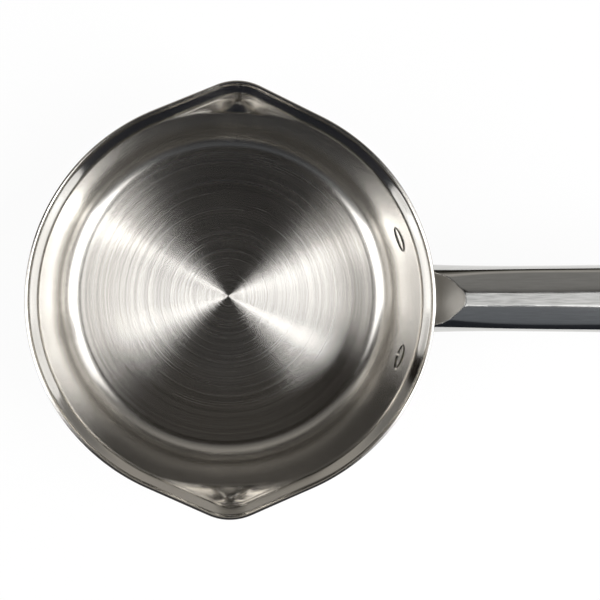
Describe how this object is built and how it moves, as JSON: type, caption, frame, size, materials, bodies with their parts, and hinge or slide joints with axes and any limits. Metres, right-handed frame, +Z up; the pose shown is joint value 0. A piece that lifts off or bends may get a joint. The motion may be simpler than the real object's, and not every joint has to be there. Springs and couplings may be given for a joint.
{
  "type": "milk pan",
  "caption": "Small steel saucepan with a flared lip, a pouring spout on each side and a hollow riveted handle with a hanging hole.",
  "frame": {"origin": "middle of the base's resting face, on the bowl's axis", "axes": "+Z up the bowl's axis, +X out along the handle, +Y towards one pouring spout"},
  "size_m": [0.3476, 0.1832, 0.0901],
  "materials": {
    "bowl_steel": "polished sheet, with a concentric brushed floor",
    "core_aluminium": "plain pressed disc",
    "cap_steel": "concentric brushed underside",
    "bracket_steel": "satin pressed plate",
    "handle_steel": "polished pressed sheet",
    "eye_steel": "polished tube",
    "rivet_steel": "polished domed heads"
  },
  "bodies": {
    "root": {"pan_body": "bowl_steel", "base_core": "core_aluminium", "base_cap": "cap_steel", "bracket": "bracket_steel", "handle_upper": "handle_steel", "handle_lower": "handle_steel", "hanging_eye": "eye_steel", "rivets": "rivet_steel"}
  },
  "joints": []
}
